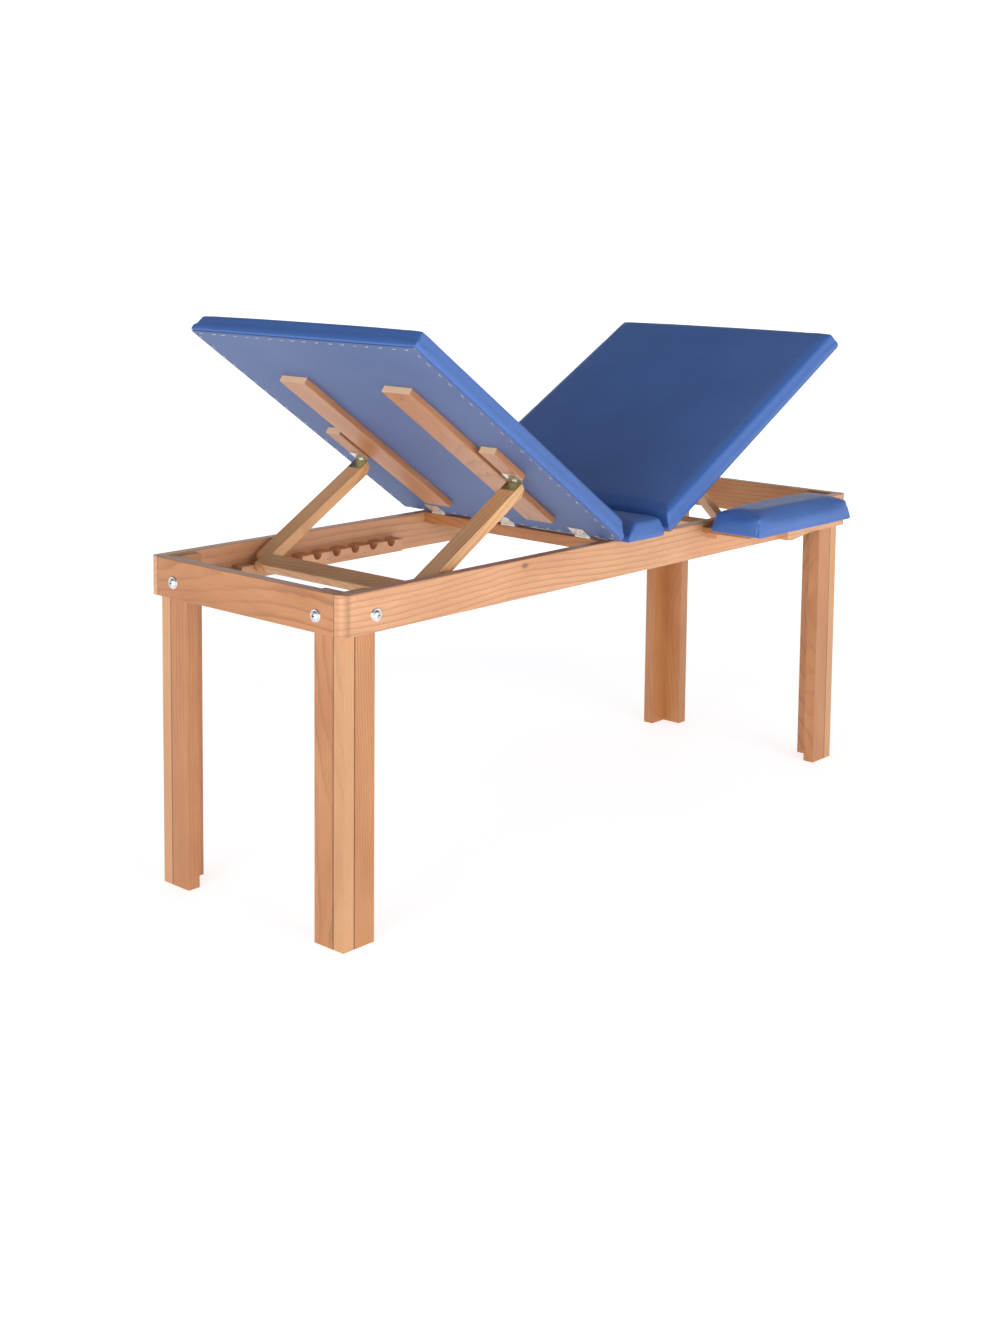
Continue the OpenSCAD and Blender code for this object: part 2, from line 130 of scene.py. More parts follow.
def studio():
    """White studio: bright below and round the horizon, dim above, with soft boxes on three sides."""
    warm = (1.0, 0.985, 0.96)
    floor_size = 80
    bpy.context.scene.view_settings.view_transform = "Standard"
    area_light("end_key", (-4.6, -0.9, 1.0), (0, 0, 0.7), (2.4, 1.6), 62, warm)
    area_light("side_key", (-0.4, -4.6, 1.0), (0, 0, 0.6), (3.0, 1.6), 88, warm)
    area_light("top", (0.6, 0.6, 4.2), (0, 0, 0.5), (2.6, 2.6), 14)

    world = bpy.data.worlds.new("studio")
    bpy.context.scene.world = world
    world.use_nodes = True
    g = Graph(world.node_tree)
    height = g.add("ShaderNodeSeparateXYZ", Vector=g.add("ShaderNodeTexCoord")["Generated"])["Z"]
    shade = g.ramp(height, [(0.0, (1, 1, 1)), (0.22, (1, 1, 1)), (0.60, (0.10, 0.11, 0.13))])
    backdrop = g.add("ShaderNodeBackground", Color=shade, Strength=1.05)["Background"]
    g.add("ShaderNodeOutputWorld", Surface=backdrop)

    bpy.ops.mesh.primitive_plane_add(size=floor_size)
    floor = bpy.context.object
    floor.name = "floor"
    mat, g, shader = new_material("floor")
    shader.inputs["Base Color"].default_value = (0.9, 0.9, 0.91, 1)
    shader.inputs["Roughness"].default_value = 0.7
    shader.inputs["Emission Color"].default_value = (1, 1, 1, 1)
    # the floor glows more away from the couch, so that it stays as white as the backdrop
    away = g.add("ShaderNodeVectorMath", {"operation": "LENGTH"})
    g.feed(away[1].node.inputs[0], g.add("ShaderNodeTexCoord")["Object"])
    glow = g.add("ShaderNodeMapRange", Value=away["Value"], From_Min=1.5, From_Max=4.5,
                 To_Min=0.62, To_Max=0.95)
    g.tree.links.new(glow["Result"], shader.inputs["Emission Strength"])
    floor.data.materials.append(mat)


# ---------------------------------------------------------------- material helpers

class Graph:
    """A short way to add shader nodes: add("Type", Socket=value or another node's socket)."""

    def __init__(self, tree):
        self.tree = tree
        tree.nodes.clear()

    def add(self, kind, settings=None, **inputs):
        node = self.tree.nodes.new(kind)
        for key, value in (settings or {}).items():
            setattr(node, key, value)
        for key, value in inputs.items():
            self.feed(node.inputs[key.replace("_", " ")], value)
        return node.outputs if kind != "ShaderNodeBsdfPrincipled" else node

    def feed(self, socket, value):
        if isinstance(value, bpy.types.NodeSocket):
            self.tree.links.new(value, socket)
        elif hasattr(value, "__iter__"):
            value = tuple(value)
            socket.default_value = value + (1,) if socket.type == "RGBA" and len(value) == 3 else value
        else:
            socket.default_value = value

    def math(self, operation, a, b=0.0, clamp=False):
        node = self.tree.nodes.new("ShaderNodeMath")
        node.operation = operation
        node.use_clamp = clamp
        self.feed(node.inputs[0], a)
        self.feed(node.inputs[1], b)
        return node.outputs[0]

    def mix(self, factor, a, b, blend="MIX"):
        node = self.tree.nodes.new("ShaderNodeMix")
        node.data_type = "RGBA"
        node.blend_type = blend
        self.feed(node.inputs[0], factor)
        self.feed(node.inputs[6], a)
        self.feed(node.inputs[7], b)
        return node.outputs[2]

    def ramp(self, value, stops):
        node = self.tree.nodes.new("ShaderNodeValToRGB")
        self.feed(node.inputs[0], value)
        elements = node.color_ramp.elements
        while len(elements) < len(stops):
            elements.new(0.5)
        for element, (place, color) in zip(elements, stops):
            element.position = place
            element.color = (*color, 1)
        return node.outputs[0]

    def fade(self, value, start, end):
        """Black below start, white above end."""
        return self.ramp(value, [(start, (0,) * 3), (end, (1,) * 3)])

    def noise(self, vector, scale, detail=3.0, rough=0.5, distortion=0.0):
        out = self.add("ShaderNodeTexNoise", Vector=vector, Scale=scale, Detail=detail,
                       Roughness=rough, Distortion=distortion)
        return out["Fac"] if "Fac" in out else out[0]

    def mapped(self, vector, scale=(1, 1, 1), rotation=(0, 0, 0), location=(0, 0, 0)):
        return self.add("ShaderNodeMapping", Vector=vector, Scale=scale, Rotation=rotation,
                        Location=location)["Vector"]

    def bump(self, height, strength, distance, normal=None):
        out = self.add("ShaderNodeBump", Height=height, Strength=strength, Distance=distance)
        if normal is not None:
            self.feed(out[0].node.inputs["Normal"], normal)
        return out[0]


def new_material(name):
    """A material with one Principled shader, its graph and that shader."""
    mat = bpy.data.materials.new(name)
    mat.use_nodes = True
    g = Graph(mat.node_tree)
    shader = g.add("ShaderNodeBsdfPrincipled")
    g.add("ShaderNodeOutputMaterial", Surface=shader.outputs[0])
    return mat, g, shader


def off_middle(g, axis):
    """Distance of a point from the middle of the couch, along X or Y."""
    xyz = g.add("ShaderNodeSeparateXYZ", Vector=g.add("ShaderNodeTexCoord")["Object"])
    return g.math("ABSOLUTE", xyz[axis])


def band(g, value, centre, half):
    """1 at centre, falling to 0 at half to either side of it."""
    away = g.math("ABSOLUTE", g.math("SUBTRACT", value, centre))
    return g.math("SUBTRACT", 1.0, g.math("MULTIPLY", away, 1.0 / half), clamp=True)


def leg_seams(g, base, node):
    """Glued post and wings of a leg: dark seams beside the post, which is a little lighter."""
    low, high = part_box(node)
    outer = [max(abs(low[i]), abs(high[i])) for i in range(2)]
    post, skin, half = 0.030, 0.0035, 0.0026
    x, y = (off_middle(g, axis) for axis in "XY")
    on_y = g.math("GREATER_THAN", y, outer[1] - skin)
    on_x = g.math("GREATER_THAN", x, outer[0] - skin)
    seam = g.math("ADD", g.math("MULTIPLY", band(g, x, outer[0] - post, half), on_y),
                  g.math("MULTIPLY", band(g, y, outer[1] - post, half), on_x), clamp=True)
    in_post = g.math("MULTIPLY", g.math("GREATER_THAN", x, outer[0] - post),
                     g.math("GREATER_THAN", y, outer[1] - post))
    base = g.mix(g.math("MULTIPLY", in_post, 0.28), base, (0.80, 0.50, 0.27))
    return g.mix(g.math("MULTIPLY", seam, 0.9), base, (0.13, 0.045, 0.016))


def rail_ends(g, base, node):
    """Painted shade over the rounded end of a side rail, where its face turns away from the light."""
    inset, half = 0.013, 0.009
    painted_end_shade = band(g, off_middle(g, "X"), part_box(node)[1].x - inset, half)
    # painted shade: a darker band a little in from each rounded end
    return g.mix(g.math("MULTIPLY", painted_end_shade, 0.6), base, (0.22, 0.085, 0.035))


def painted_end_light(g, base, along):
    """Painted light: paler wood on the faces that cut across the grain, the ends turned toward the light.
    """
    dot = g.add("ShaderNodeVectorMath", {"operation": "DOT_PRODUCT"})
    g.feed(dot[1].node.inputs[0], g.add("ShaderNodeTexCoord")["Normal"])
    g.feed(dot[1].node.inputs[1], along)
    square_on = 0.85
    across = g.math("GREATER_THAN", g.math("ABSOLUTE", dot["Value"]), square_on)
    # painted light: the end faces are made paler, as if lit
    return g.mix(g.math("MULTIPLY", across, 0.7), base, (0.86, 0.60, 0.37))


def rail_joint(g, base, node):
    """Dark line of the butt joint at both ends of an end rail."""
    half = 0.003
    line = band(g, off_middle(g, "Y"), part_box(node)[1].y, half)
    return g.mix(g.math("MULTIPLY", line, 0.9), base, (0.11, 0.04, 0.015))


def grain_turn(axis, angle=0.0):
    """Rotation that brings the grain's direction onto X. Grain along X may be tilted, about Y."""
    if axis == "X":
        return (0, angle, 0)
    if axis == "Y":
        return (0, 0, -math.pi / 2)
    return (0, math.pi / 2, 0)


# Wood tones: light, mid and dark bands of the grain
CHERRY = ((0.70, 0.375, 0.195), (0.57, 0.275, 0.130), (0.34, 0.145, 0.060))
HONEY = ((0.56, 0.255, 0.100), (0.45, 0.180, 0.062), (0.27, 0.094, 0.030))
AMBER = ((0.72, 0.42, 0.20), (0.60, 0.31, 0.13), (0.38, 0.165, 0.058))
ROSY = ((0.52, 0.25, 0.120), (0.41, 0.175, 0.078), (0.26, 0.10, 0.040))


def wood(name, turn, tones, seed, pith=(0.11, -0.14), ring=0.0085, knots=0.0,
         extra=None, about=None):
    """Lacquered board cut from a log: growth rings about an off-centre pith, wandering along the grain.

    extra adds to the colour, from what it needs to know about the piece: its node, or its direction."""
    log_height = 0.68
    light, mid, dark = tones
    mat, g, shader = new_material(name)
    rnd = random.Random(seed)
    shift = [rnd.uniform(-3, 3) for _ in range(3)]
    here = g.add("ShaderNodeTexCoord")["Object"]
    p = g.mapped(g.mapped(here, rotation=turn), location=shift)
    # the log's axis drifts, which makes tall arches on a flat-sawn face
    drift = g.noise(g.mapped(p, scale=(1.1, 0.6, 0.6)), 1.0, 1.0)
    waver = g.noise(g.mapped(p, scale=(2.6, 10, 10)), 1.0, 4.0, 0.6)
    centred = g.mapped(g.mapped(here, rotation=turn), location=(0, pith[0], pith[1] - log_height))
    xyz = g.add("ShaderNodeSeparateXYZ", Vector=centred)
    away_y = g.math("ADD", xyz["Y"], g.math("MULTIPLY", drift, 0.16))
    away_z = g.math("ADD", xyz["Z"], g.math("MULTIPLY", drift, -0.12))
    radius = g.math("SQRT", g.math("ADD", g.math("MULTIPLY", away_y, away_y),
                                   g.math("MULTIPLY", away_z, away_z)))
    radius = g.math("ADD", radius, g.math("MULTIPLY", waver, 0.020))
    rings = g.math("FRACT", g.math("DIVIDE", radius, ring))
    late = g.ramp(rings, [(0.0, (0.12,) * 3), (0.12, (0.0,) * 3), (0.62, (0.16,) * 3),
                          (0.93, (1.0,) * 3), (1.0, (0.12,) * 3)])
    # bands fade in and out over the board
    patch = g.noise(g.mapped(p, scale=(2.2, 9, 9)), 1.0, 2.0)
    strength = g.ramp(patch, [(0.32, (0.12,) * 3), (0.68, (0.75,) * 3)])
    fibre = g.noise(g.mapped(p, scale=(14, 420, 420)), 1.0, 2.0, 0.6)
    pores = g.noise(g.mapped(p, scale=(38, 900, 900)), 1.0, 1.0, 0.6)
    pore_mask = g.fade(pores, 0.60, 0.74)
    blotch = g.noise(g.mapped(p, scale=(5, 14, 14)), 1.0, 3.0)

    base = g.mix(g.fade(blotch, 0.3, 0.7), light, mid)
    base = g.mix(g.math("MULTIPLY", late, strength), base, dark)
    base = g.mix(g.math("MULTIPLY", fibre, 0.42), base, g.mix(0.5, mid, dark))
    base = g.mix(g.math("MULTIPLY", pore_mask, 0.35), base, dark)
    # pin knots: small dark spots with a soft ring, far apart
    cells = g.add("ShaderNodeTexVoronoi", Vector=g.mapped(p, scale=(0.55, 1, 1)), Scale=7.0,
                  Randomness=1.0)
    knot = g.ramp(cells["Distance"], [(0.0, (1,) * 3), (0.028, (0.85,) * 3), (0.055, (0,) * 3)])
    base = g.mix(g.math("MULTIPLY", knot, knots), base, tuple(c * 0.45 for c in dark))
    if extra:
        base = extra(g, base, about)
    g.tree.links.new(base, shader.inputs["Base Color"])
    rough = g.math("ADD", g.math("MULTIPLY", fibre, 0.16), 0.34)
    g.tree.links.new(rough, shader.inputs["Roughness"])
    shader.inputs["Coat Weight"].default_value = 0.14
    shader.inputs["Coat Roughness"].default_value = 0.22
    height = g.math("ADD", g.math("MULTIPLY", fibre, 0.5), g.math("MULTIPLY", pore_mask, -0.6))
    height = g.math("ADD", height, g.math("MULTIPLY", late, 0.25))
    g.tree.links.new(g.bump(height, 0.28, 0.0004), shader.inputs["Normal"])
    return mat


def plywood():
    """Raw veneer with fine streaks and broader veins."""
    mat, g, shader = new_material("plywood")
    here = g.add("ShaderNodeTexCoord")["Object"]
    streaks = g.noise(g.mapped(here, scale=(9, 220, 220)), 1.0, 3.0)
    veins = g.noise(g.mapped(here, scale=(2.5, 30, 30)), 1.0, 3.0, 0.6, 1.2)
    tone = g.mix(veins, (0.62, 0.44, 0.27), (0.45, 0.29, 0.16))
    tone = g.mix(g.math("MULTIPLY", streaks, 0.5), tone, (0.36, 0.22, 0.12))
    g.tree.links.new(tone, shader.inputs["Base Color"])
    shader.inputs["Roughness"].default_value = 0.62
    g.tree.links.new(g.bump(streaks, 0.3, 0.0004), shader.inputs["Normal"])
    return mat


def vinyl():
    """Upholstery vinyl: a fine pebble grain, slight dye variation, and small creases."""
    mat, g, shader = new_material("vinyl")
    here = g.add("ShaderNodeTexCoord")["Object"]
    cloud = g.noise(here, 5.0, 3.0)
    fine = g.noise(here, 60.0, 4.0, 0.6)
    tone = g.mix(g.fade(cloud, 0.3, 0.7), (0.040, 0.120, 0.385), (0.052, 0.146, 0.445))
    tone = g.mix(g.math("MULTIPLY", fine, 0.25), tone, (0.030, 0.095, 0.310))
    cells = g.add("ShaderNodeTexVoronoi", {"feature": "DISTANCE_TO_EDGE"}, Vector=here, Scale=620.0,
                  Randomness=1.0)["Distance"]
    pebble = g.ramp(cells, [(0.0, (0,) * 3), (0.10, (0.8,) * 3), (0.35, (1,) * 3)])
    tone = g.mix(g.math("MULTIPLY", g.math("SUBTRACT", 1.0, pebble), 0.18), tone, (0.022, 0.07, 0.25))
    g.tree.links.new(tone, shader.inputs["Base Color"])
    rough = g.math("ADD", g.math("MULTIPLY", fine, 0.14), 0.34)
    g.tree.links.new(rough, shader.inputs["Roughness"])
    grain = g.bump(pebble, 0.22, 0.00025)
    crease = g.noise(here, 14.0, 5.0, 0.55, 0.6)
    g.tree.links.new(g.bump(crease, 0.12, 0.004, grain), shader.inputs["Normal"])
    return mat


def lining():
    """The thinner, duller cloth that covers the underside of a section."""
    mat, g, shader = new_material("lining")
    here = g.add("ShaderNodeTexCoord")["Object"]
    cloud = g.noise(here, 3.5, 3.0)
    tone = g.mix(g.fade(cloud, 0.3, 0.7), (0.064, 0.108, 0.250), (0.088, 0.134, 0.290))
    along = g.add("ShaderNodeTexWave", {"bands_direction": "Y"}, Vector=here, Scale=420.0, Distortion=0.4,
                  Detail=1.0)[0]
    across = g.add("ShaderNodeTexWave", {"bands_direction": "DIAGONAL"}, Vector=here, Scale=420.0,
                   Distortion=0.4, Detail=1.0)[0]
    weave = g.math("MULTIPLY", along, across)
    tone = g.mix(g.math("MULTIPLY", weave, 0.16), tone, (0.16, 0.22, 0.42))
    g.tree.links.new(tone, shader.inputs["Base Color"])
    shader.inputs["Roughness"].default_value = 0.58
    fine = g.bump(weave, 0.2, 0.0002)
    ripple = g.noise(here, 9.0, 3.0, 0.5, 0.8)
    g.tree.links.new(g.bump(ripple, 0.16, 0.005, fine), shader.inputs["Normal"])
    return mat


def metal(name, color, rough, worn):
    """Plated steel, with faint smears and darker worn patches."""
    mat, g, shader = new_material(name)
    here = g.add("ShaderNodeTexCoord")["Object"]
    smear = g.noise(here, 130.0, 4.0, 0.65)
    fine = g.noise(here, 900.0, 2.0)
    tone = g.mix(g.fade(smear, 0.35, 0.7), color, worn)
    g.tree.links.new(tone, shader.inputs["Base Color"])
    shader.inputs["Metallic"].default_value = 1.0
    g.tree.links.new(g.math("ADD", g.math("MULTIPLY", smear, 0.2), rough), shader.inputs["Roughness"])
    g.tree.links.new(g.bump(fine, 0.12, 0.0001), shader.inputs["Normal"])
    return mat


def paint(node, mat):
    """Gives a CAD node a material."""
    data = nodes[node].data
    data.materials.clear()
    data.materials.append(mat)


camera()
studio()

VINYL = vinyl()
LINING = lining()
PLY = plywood()
ZINC = metal("zinc", (0.80, 0.82, 0.85), 0.20, (0.58, 0.60, 0.64))
SCREW = metal("screw_steel", (0.55, 0.47, 0.33), 0.28, (0.32, 0.26, 0.18))
NICKEL = metal("hinge_white", (0.90, 0.89, 0.85), 0.32, (0.70, 0.68, 0.62))
# lower prop leaves: the plated hinge metal darkened to olive, painted shade of the shadowed leaf
SHADED_LEAF_METAL = metal("hinge_bronze", (0.42, 0.36, 0.18), 0.30, (0.24, 0.20, 0.10))
# near-black metal for screw recesses and bolt slots: painted shade standing in for their hollows
RECESS_SHADE = metal("recess", (0.05, 0.05, 0.05), 0.5, (0.02, 0.02, 0.02))


# ---------------------------------------------------------------- wood on the CAD pieces

def paint_wood():
    """Boards of different logs: the whole number after the tones is the seed of a board's own grain."""
    rail_pith = {"near": 0.20, "far": -0.42}
    for i, side in enumerate(("near", "far")):
        paint(f"side_rail_{side}", wood(f"rail_{side}", grain_turn("X"), CHERRY, 11 + i,
                                        pith=(rail_pith[side], -0.05), ring=0.013, knots=0.8,
                                        extra=rail_ends, about=f"side_rail_{side}"))
        for s in SECTIONS:
            paint(f"{s.name}_rack_{side}", wood(f"{s.name}_rack_{side}", grain_turn("X"), CHERRY, 31 + i,
                                                pith=(0.1, 0.02)))
        for end in ("back", "foot"):
            paint(f"leg_{end}_{side}", wood(f"leg_{end}_{side}", grain_turn("Z"), HONEY, 51 + i * 7,
                                            pith=(0.30, 0.5), ring=0.007,
                                            extra=leg_seams, about=f"leg_{end}_{side}"))
        paint(f"armrest_cleat_{side}", wood(f"cleat_{side}", grain_turn("X"), CHERRY, 71 + i))
        paint(f"armrest_board_{side}", wood(f"arm_board_{side}", grain_turn("X"), HONEY, 75 + i))
    for end, pith_y, seed in (("back", -0.80, 5), ("foot", 0.80, 6)):
        paint(f"end_rail_{end}", wood(f"rail_{end}", grain_turn("Y"), HONEY, seed, pith=(pith_y, -0.03),
                                      ring=0.011, extra=rail_joint, about=f"end_rail_{end}"))
    for s in SECTIONS:
        turn = grain_turn("X", s.side * s.tilt)
        along = s.matrix.col[0][:3]
        paint(f"{s.name}_hinge_bar", wood(f"{s.name}_bar", grain_turn("Y"), HONEY, 81))
        prop_turn = grain_turn("X", -s.side * prop_slope(s))
        for i, side in enumerate(("near", "far")):
            for piece, seed in (("batten", 91), ("block", 95)):
                node = f"{s.name}_{piece}_{side}"
                paint(node, wood(node, turn, ROSY, seed + i, extra=painted_end_light, about=along))
            paint(f"{s.name}_strut_{side}", wood(f"{s.name}_strut_{side}", prop_turn, AMBER, 101 + i))
        paint(f"{s.name}_crossbar", wood(f"{s.name}_crossbar", grain_turn("Y"), AMBER, 107))


def prop_slope(s):
    """Slope of a section's struts below level. The diagonal of a strut's box is a little steeper."""
    flatter = 0.93
    low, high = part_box(f"{s.name}_strut_near")
    return math.atan2(high.z - low.z, high.x - low.x) * flatter


def paint_metal():
    """Bolts, screws and hinges, and the raw boards under the pads."""
    for node in ("leg_bolts", "leg_washers", "leg_nuts"):
        paint(node, ZINC)
    for node in ("rack_screws", "armrest_screws"):
        paint(node, SCREW)
    paint("seat_board", PLY)
    for s in SECTIONS:
        paint(f"{s.name}_screws", SCREW)
        paint(f"{s.name}_board", PLY)
        for piece in ("fixed_leaves", "moving_leaves", "hinge_pins", "prop_upper_leaves", "prop_pins"):
            paint(f"{s.name}_{piece}", NICKEL)
        # painted shade: the lower prop leaves get a darker olive copy of the hinge metal
        paint(f"{s.name}_prop_lower_leaves", SHADED_LEAF_METAL)


paint_wood()
paint_metal()


# ---------------------------------------------------------------- mesh helpers

def mesh_object(name, bm, mat, matrix=Matrix.Identity(4), smooth=True):
    """Turns a finished bmesh into an object in the scene."""
    data = bpy.data.meshes.new(name)
    bm.to_mesh(data)
    bm.free()
    data.transform(matrix)
    data.materials.append(mat)
    for polygon in data.polygons:
        polygon.use_smooth = smooth
    obj = bpy.data.objects.new(name, data)
    bpy.context.scene.collection.objects.link(obj)
    return obj


def apply_modifiers(obj):
    """Replaces an object's mesh by the result of its modifiers, and drops them."""
    graph = bpy.context.evaluated_depsgraph_get()
    done = bpy.data.meshes.new_from_object(obj.evaluated_get(graph))
    old = obj.data
    obj.modifiers.clear()
    obj.data = done
    bpy.data.meshes.remove(old)
    for polygon in done.polygons:
        polygon.use_smooth = True


# ---------------------------------------------------------------- cushions

# Height of a cushion's stapled rim, and how far its blank stands in from the CAD block
RIM = 0.014
SHRINK = 0.0015
# Cloth simulation: pressure inside, and number of frames
PRESSURE = 4.0
FRAMES = 14
# Depth of the pleats at the corners
PLEAT = 0.0016
NO_TURN = Matrix.Identity(4)


def pad_block(box, slopes, swell):
    """Closed cushion blank: an upright rim, then sides that lean in to a flat top, with room to swell.

    slopes are how far the sides lean in at the low and high X ends and at both long sides."""
    low, high = box
    near_in, far_in, side_in = slopes
    bottom = [(low.x + SHRINK, low.y + SHRINK), (high.x - SHRINK, high.y - SHRINK)]
    levels = [(low.z, 0.0), (low.z + RIM, 0.0), (high.z - swell, 1.0)]
    bm = bmesh.new()
    loops = []
    for z, lean in levels:
        x0, y0 = bottom[0][0] + near_in * lean, bottom[0][1] + side_in * lean
        x1, y1 = bottom[1][0] - far_in * lean, bottom[1][1] - side_in * lean
        loops.append([bm.verts.new((x, y, z)) for x, y in ((x0, y0), (x1, y0), (x1, y1), (x0, y1))])
    bm.faces.new(reversed(loops[0]))
    bm.faces.new(loops[-1])
    for below, above in zip(loops, loops[1:]):
        for i in range(4):
            j = (i + 1) % 4
            bm.faces.new((below[i], below[j], above[j], above[i]))
    return bm


def puff(obj, low, voxel, cap):
    """Voxel remesh, then cloth under pressure with the stapled rim held, capped and applied."""
    remesh = obj.modifiers.new("remesh", "REMESH")
    remesh.mode = "VOXEL"
    remesh.voxel_size = voxel
    apply_modifiers(obj)
    start = [v.co.copy() for v in obj.data.vertices]
    held = obj.vertex_groups.new(name="held")
    held.add([v.index for v in obj.data.vertices if v.co.z < low.z + RIM], 1.0, "REPLACE")
    cloth = obj.modifiers.new("cloth", "CLOTH")
    settings = cloth.settings
    settings.quality = 4
    settings.mass = 0.35
    settings.tension_stiffness = 25
    settings.compression_stiffness = 25
    settings.shear_stiffness = 15
    settings.bending_stiffness = 1.2
    settings.use_pressure = True
    settings.uniform_pressure_force = PRESSURE
    settings.vertex_group_mass = "held"
    settings.effector_weights.gravity = 0.0
    cloth.point_cache.frame_start = 1
    cloth.point_cache.frame_end = FRAMES
    for f in range(1, FRAMES + 1):
        bpy.context.scene.frame_set(f)
    apply_modifiers(obj)
    bpy.context.scene.frame_set(1)
    for v, was in zip(obj.data.vertices, start):
        move = v.co - was
        if move.length > cap:
            v.co = was + move * (cap / move.length)
    obj.vertex_groups.clear()


def crown(obj, box, rise, power):
    """Lifts the top towards its middle line, less so at the two ends, so that the cushion isn't flat."""
    end_drop = 0.6
    low, high = box
    middle, half = (low + high) / 2, (high - low) / 2
    for v in obj.data.vertices:
        u = min(1.0, abs(v.co.x - middle.x) / half.x)
        w = min(1.0, abs(v.co.y - middle.y) / half.y)
        level = min(1.0, max(0.0, (v.co.z - low.z - RIM) / (high.z - low.z - RIM)))
        across = 1 - w ** power
        v.co.z += rise * level * across * (1 - end_drop * u ** power)


def soften(obj, low, rounds):
    """Rounds the upper edges, fading in over the rim, and leaves the bottom edge as it is."""
    start, fade = 0.004, 0.02
    upper = obj.vertex_groups.new(name="upper")
    for v in obj.data.vertices:
        weight = min(1.0, max(0.0, (v.co.z - low.z - start) / fade))
        if weight > 0:
            upper.add([v.index], weight, "REPLACE")
    smooth = obj.modifiers.new("smooth", "SMOOTH")
    smooth.factor = 0.5
    smooth.iterations = rounds
    smooth.vertex_group = "upper"
    apply_modifiers(obj)
    obj.vertex_groups.clear()


def pleats(obj, box, depth):
    """Folds in the cover at the four upright corners: grooves that fade out up the side."""
    low, high = box
    middle = (low + high) / 2
    reach, spacing, width = 0.05, 0.011, 0.0032
    for v in obj.data.vertices:
        to_x = min(v.co.x - low.x, high.x - v.co.x)
        to_y = min(v.co.y - low.y, high.y - v.co.y)
        if to_x > reach or to_y > reach:
            continue
        climb = (v.co.z - low.z) / (high.z - low.z)
        fade = max(0.0, 1 - climb) ** 0.7
        on_side = to_y < to_x
        from_corner = to_x if on_side else to_y
        groove = sum(math.exp(-(((from_corner - k * spacing * (0.6 + 0.4 * fade)) / width) ** 2)) / k
                     for k in (1, 2))
        inward = Vector((0, middle.y - v.co.y, 0)) if on_side else Vector((middle.x - v.co.x, 0, 0))
        v.co += inward.normalized() * depth * groove * fade


def keep_inside(obj, box, spare=0.001, proud=0.007):
    """Keeps a cushion to its CAD block: spare past its sides, proud above its top, nothing below it."""
    low, high = box
    lowest = (low.x - spare, low.y - spare, low.z)
    highest = (high.x + spare, high.y + spare, high.z + proud)
    for v in obj.data.vertices:
        v.co = Vector(min(max(v.co[i], lowest[i]), highest[i]) for i in range(3))


def cushion(name, node, body, matrix, box, slopes, voxel, swell, rise, power, rounds):
    """A cushion over its CAD block: blank, cloth simulation, rounding, crown, subdivision and pleats."""
    low = box[0]
    obj = mesh_object(name, pad_block(box, slopes, swell), VINYL)
    puff(obj, low, voxel, swell)
    soften(obj, low, rounds)
    crown(obj, box, rise, power)
    sub = obj.modifiers.new("sub", "SUBSURF")
    sub.levels = sub.render_levels = 1
    apply_modifiers(obj)
    pleats(obj, box, PLEAT)
    keep_inside(obj, box)
    obj.data.transform(matrix)
    obj.data.update()
    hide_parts(node)
    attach(obj, body)


def cushions():
    """The pads of both sections, the fixed middle strip and both armrests."""
    for s in SECTIONS:
        node = f"{s.name}_cushion"
        cushion(f"{s.name}_pad", node, s.name, s.matrix, s.local_box(node), slopes=(0.022, 0.004, 0.004),
                voxel=0.006, swell=0.003, rise=0.008, power=3.0, rounds=3)
    cushion("seat_pad", "seat_cushion", "frame", NO_TURN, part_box("seat_cushion"),
            slopes=(0.030, 0.014, 0.006), voxel=0.005, swell=0.004, rise=0.002, power=3.0, rounds=3)
    for side in ("near", "far"):
        node = f"armrest_pad_{side}"
        cushion(f"armrest_cushion_{side}", node, "frame", NO_TURN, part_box(node),
                slopes=(0.006, 0.006, 0.008), voxel=0.004, swell=0.008, rise=0.009, power=2.2, rounds=14)


# ---------------------------------------------------------------- linings and staples

def lining_sheet(s):
    """The cloth stapled over the underside, with its folded hem standing a little proud."""
    low, high = s.local_box(f"{s.name}_cushion")
    inset, hem, thick = 0.0045, 0.009, 0.0007
    hem_proud, hem_fade, sag, wave = 0.0005, 0.004, 0.0003, 6
    into_board = 0.0001
    x0, x1, y0, y1 = low.x + inset, high.x - inset, low.y + inset, high.y - inset
    cols, rows = 150, 130
    bm = bmesh.new()
    skins = []
    for skin in (0, 1):
        grid = []
        for i in range(cols + 1):
            line = []
            for j in range(rows + 1):
                x, y = x0 + (x1 - x0) * i / cols, y0 + (y1 - y0) * j / rows
                edge = min(x - x0, x1 - x, y - y0, y1 - y)
                fold = hem_proud * (1 - min(1.0, max(0.0, (edge - hem) / hem_fade)))
                drape = sag * noise.noise(Vector((x * wave, y * wave, s.side)))
                z = low.z + into_board if skin else low.z - thick - fold + drape
                line.append(bm.verts.new((x, y, z)))
            grid.append(line)
        skins.append(grid)
    for skin, grid in enumerate(skins):
        for i in range(cols):
            for j in range(rows):
                face = (grid[i][j], grid[i + 1][j], grid[i + 1][j + 1], grid[i][j + 1])
                bm.faces.new(face if skin else tuple(reversed(face)))
    border = [(i, 0) for i in range(cols)] + [(cols, j) for j in range(rows)]
    border += [(i, rows) for i in range(cols, 0, -1)] + [(0, j) for j in range(rows, 0, -1)]
    for (i0, j0), (i1, j1) in zip(border, border[1:] + border[:1]):
        bm.faces.new((skins[0][i0][j0], skins[0][i1][j1], skins[1][i1][j1], skins[1][i0][j0]))
    bmesh.ops.recalc_face_normals(bm, faces=bm.faces)
    obj = mesh_object(f"{s.name}_lining", bm, LINING, s.matrix)
    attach(obj, s.name)


def add_rod(bm, start, end, radius, sides=6):
    """Adds a straight round rod from start to end."""
    axis = end - start
    turn = axis.to_track_quat("Z", "Y").to_matrix().to_4x4()
    turn.translation = (start + end) / 2
    bmesh.ops.create_cone(bm, cap_ends=True, segments=sides, radius1=radius, radius2=radius,
                          depth=axis.length, matrix=turn)


